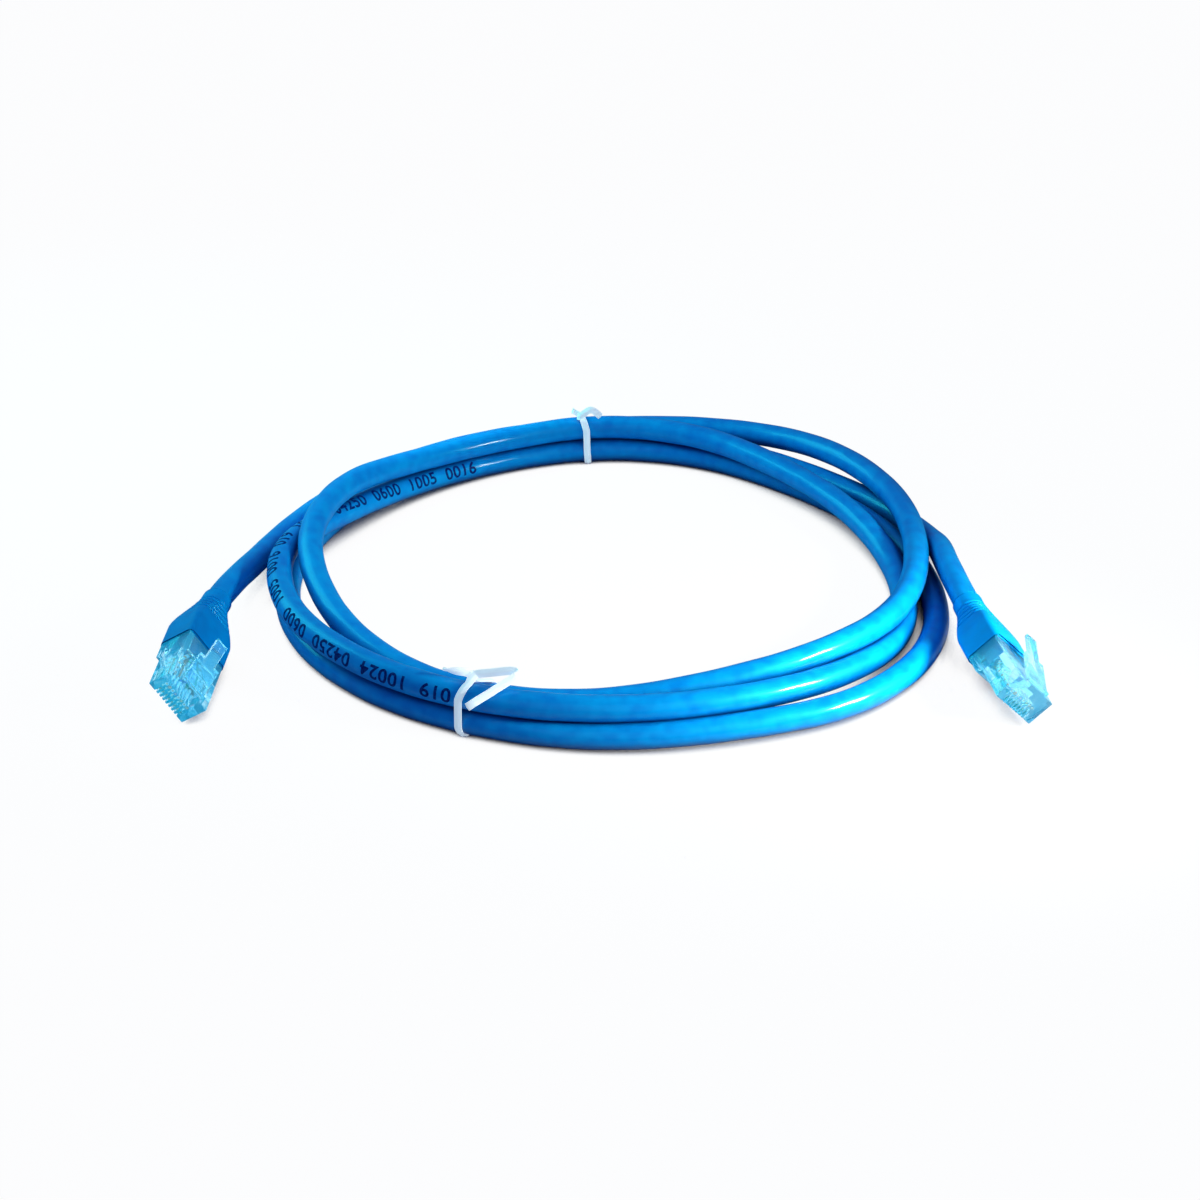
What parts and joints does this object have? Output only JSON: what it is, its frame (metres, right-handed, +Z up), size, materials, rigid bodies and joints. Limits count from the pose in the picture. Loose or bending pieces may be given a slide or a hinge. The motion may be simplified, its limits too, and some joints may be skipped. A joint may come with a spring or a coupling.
{
  "type": "ethernet patch cable",
  "caption": "Round blue network patch cable tied in a flat coil, with a clear latching modular plug and a ribbed boot on each end.",
  "frame": {"origin": "bottom centre of the whole object's box, on the surface that the coil lies on", "axes": "+X to the right plug, +Y to the coil's rear, +Z up; both plugs point towards -Y"},
  "size_m": [0.1927, 0.1587, 0.0188],
  "materials": {
    "cable_jacket": "smooth soft PVC, satin gloss, bright azure blue",
    "boot_blue": "moulded soft PVC, satin gloss",
    "clear_plastic": "clear moulded polycarbonate",
    "pair_bundle": "insulated twisted pairs, seen only as a bundle",
    "contact_gold": "gold plated spring bronze",
    "bare_copper": "bare stranded copper",
    "wire_white_orange": "white insulation with an orange stripe",
    "wire_orange": "orange insulation",
    "wire_white_green": "white insulation with a green stripe",
    "wire_blue": "blue insulation",
    "wire_white_blue": "white insulation with a blue stripe",
    "wire_green": "green insulation",
    "wire_white_brown": "white insulation with a brown stripe",
    "wire_brown": "brown insulation",
    "tie_ribbon": "thin milky plastic ribbon",
    "tie_steel": "thin annealed steel wire"
  },
  "bodies": {
    "cord_set": {"coil_bundle": "pair_bundle", "coil_jacket": "cable_jacket", "front_tie_ribbon": "tie_ribbon", "front_tie_wire": "tie_steel", "left_boot": "boot_blue", "left_contact_1": "contact_gold", "left_contact_2": "contact_gold", "left_contact_3": "contact_gold", "left_contact_4": "contact_gold", "left_contact_5": "contact_gold", "left_contact_6": "contact_gold", "left_contact_7": "contact_gold", "left_contact_8": "contact_gold", "left_copper_cores": "bare_copper", "left_lead_bundle": "pair_bundle", "left_lead_jacket": "cable_jacket", "left_plug_bundle": "pair_bundle", "left_plug_housing": "clear_plastic", "left_plug_jacket": "cable_jacket", "left_wire_1": "wire_white_orange", "left_wire_2": "wire_orange", "left_wire_3": "wire_white_green", "left_wire_4": "wire_blue", "left_wire_5": "wire_white_blue", "left_wire_6": "wire_green", "left_wire_7": "wire_white_brown", "left_wire_8": "wire_brown", "rear_tie_ribbon": "tie_ribbon", "rear_tie_wire": "tie_steel", "right_boot": "boot_blue", "right_contact_1": "contact_gold", "right_contact_2": "contact_gold", "right_contact_3": "contact_gold", "right_contact_4": "contact_gold", "right_contact_5": "contact_gold", "right_contact_6": "contact_gold", "right_contact_7": "contact_gold", "right_contact_8": "contact_gold", "right_copper_cores": "bare_copper", "right_lead_bundle": "pair_bundle", "right_lead_jacket": "cable_jacket", "right_plug_bundle": "pair_bundle", "right_plug_housing": "clear_plastic", "right_plug_jacket": "cable_jacket", "right_wire_1": "wire_white_orange", "right_wire_2": "wire_orange", "right_wire_3": "wire_white_green", "right_wire_4": "wire_blue", "right_wire_5": "wire_white_blue", "right_wire_6": "wire_green", "right_wire_7": "wire_white_brown", "right_wire_8": "wire_brown"},
    "left_latch": {"left_plug_latch": "clear_plastic"},
    "right_latch": {"right_plug_latch": "clear_plastic"}
  },
  "joints": [
    {"name": "left_latch_hinge", "type": "hinge", "parent": "cord_set", "child": "left_latch", "pos_m": [-0.08626, -0.06372, 0.00949], "axis": [-0.5193, 0.0004, 0.8546], "range_deg": [0, 13], "stiffness_Nm_per_rad": 0.3},
    {"name": "right_latch_hinge", "type": "hinge", "parent": "cord_set", "child": "right_latch", "pos_m": [0.09254, -0.06428, 0.01021], "axis": [-0.6891, -0.1442, 0.7102], "range_deg": [0, 13], "stiffness_Nm_per_rad": 0.3}
  ]
}
